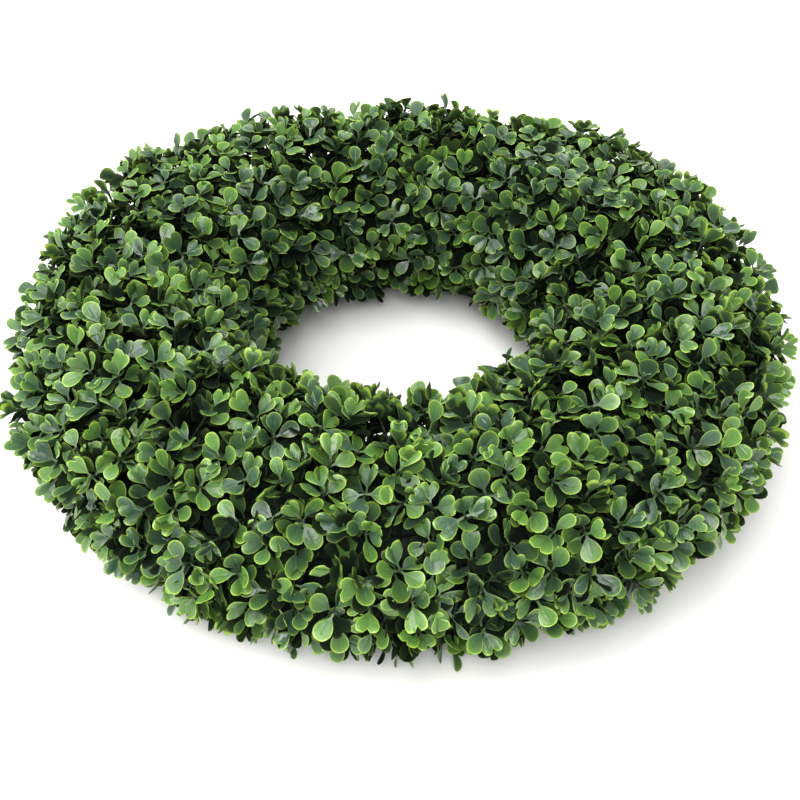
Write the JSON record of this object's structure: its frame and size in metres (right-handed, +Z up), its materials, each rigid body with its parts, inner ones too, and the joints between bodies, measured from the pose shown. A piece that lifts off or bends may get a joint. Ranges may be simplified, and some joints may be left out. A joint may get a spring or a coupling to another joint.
{
  "type": "greenery wreath",
  "caption": "Round, full wreath of moulded boxwood sprays fixed side by side over a flat-backed ring form, lying on its back, with an open centre.",
  "frame": {"origin": "centre of the ring, on the surface that the wreath lies on", "axes": "+Z up out of the wreath's face, along the ring's axis; -Y towards the viewer of the picture"},
  "size_m": [0.5583, 0.5584, 0.15],
  "materials": {
    "foliage": "moulded boxwood leaves in soft polyethylene with a satin sheen: bluish dark green in the middle of the leaf, lighter yellow-green towards its edge",
    "ring_form": "dark green rigid foam, matte and finely pitted"
  },
  "bodies": {
    "root": {"ring_form": "ring_form", "boxwood_spray_01": "foliage", "boxwood_spray_02": "foliage", "boxwood_spray_03": "foliage", "boxwood_spray_04": "foliage", "boxwood_spray_05": "foliage", "boxwood_spray_06": "foliage", "boxwood_spray_07": "foliage", "boxwood_spray_08": "foliage", "boxwood_spray_09": "foliage", "boxwood_spray_10": "foliage", "boxwood_spray_11": "foliage", "boxwood_spray_12": "foliage", "boxwood_spray_13": "foliage", "boxwood_spray_14": "foliage", "boxwood_spray_15": "foliage", "boxwood_spray_16": "foliage", "boxwood_spray_17": "foliage", "boxwood_spray_18": "foliage", "boxwood_spray_19": "foliage", "boxwood_spray_20": "foliage", "boxwood_spray_21": "foliage", "boxwood_spray_22": "foliage", "boxwood_spray_23": "foliage", "boxwood_spray_24": "foliage"}
  },
  "joints": []
}
